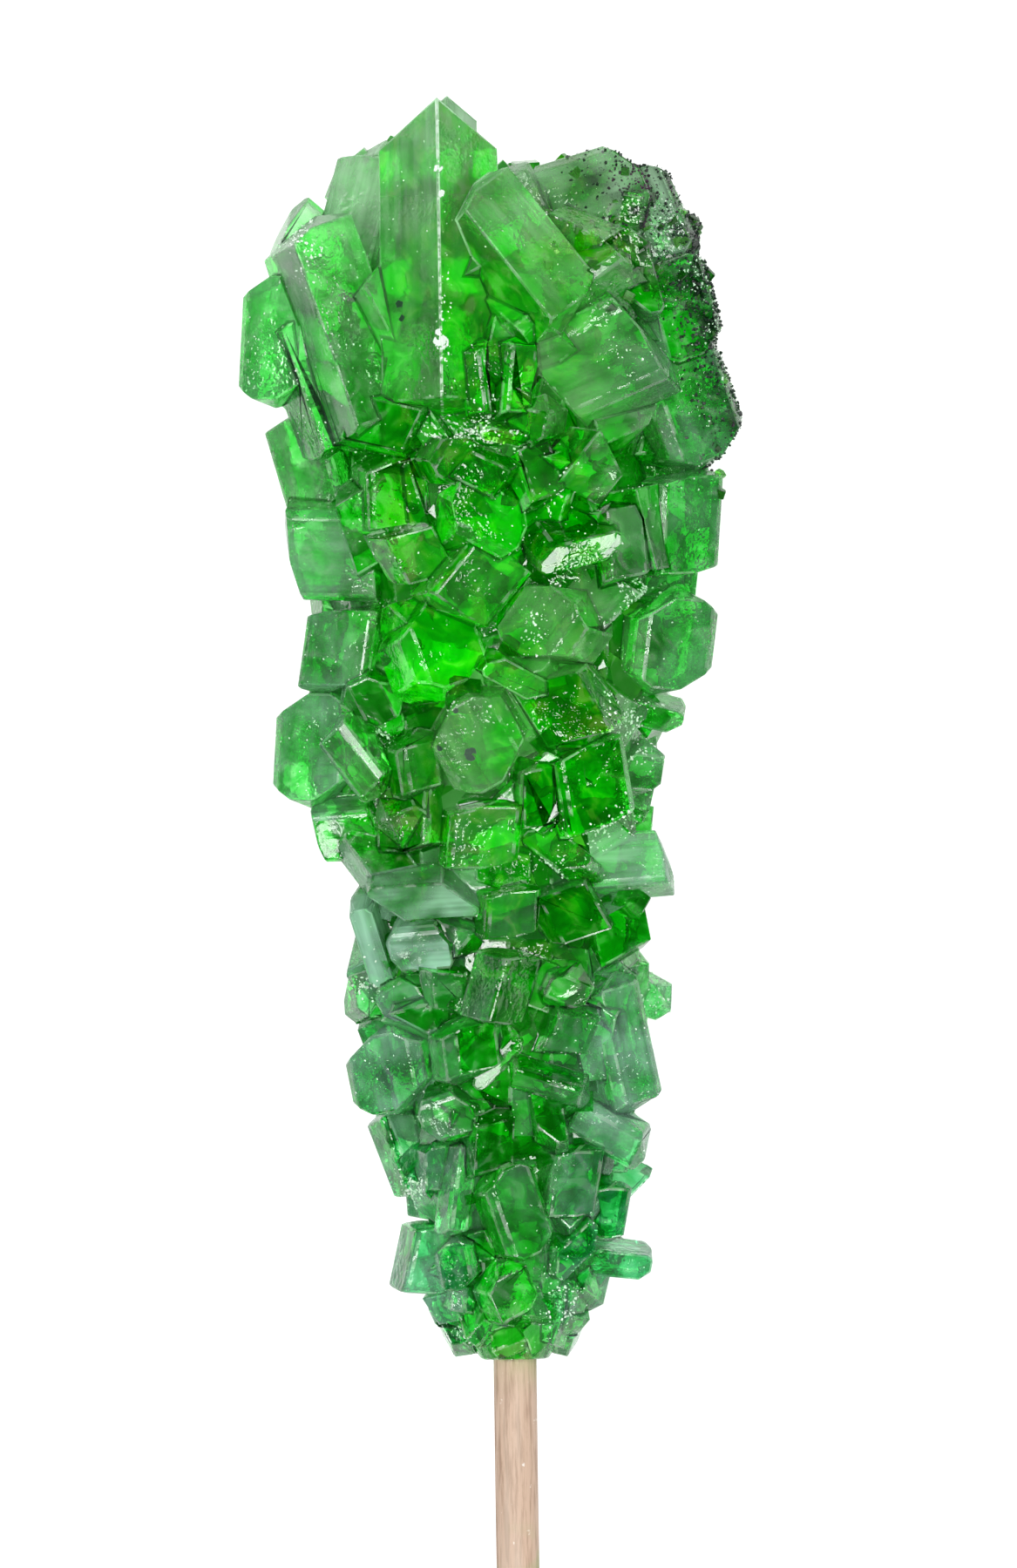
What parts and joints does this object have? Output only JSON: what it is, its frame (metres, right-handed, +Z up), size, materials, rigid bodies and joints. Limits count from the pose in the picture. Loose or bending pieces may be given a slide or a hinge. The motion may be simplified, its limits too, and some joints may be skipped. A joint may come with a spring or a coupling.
{
  "type": "rock candy",
  "caption": "Long cluster of translucent green sugar crystals grown around a thin wooden stick, broad at the tip and tapering towards the bare end of the stick.",
  "frame": {"origin": "centre of the underside of the bounding box, on the surface that the candy lies on", "axes": "+Y from the bare end of the stick towards the tip of the candy, +Z up, +X to the right seen from above with the tip away; the stick's line leans up by 5.2 degrees towards the tip"},
  "size_m": [0.0358, 0.164, 0.0301],
  "materials": {
    "sugar_crystal": "clear green sugar crystal, glossy flat faces",
    "stick_wood": "plain pale wood, fine lengthwise grain"
  },
  "bodies": {
    "root": {"candy": "sugar_crystal", "stick": "stick_wood"}
  },
  "joints": []
}
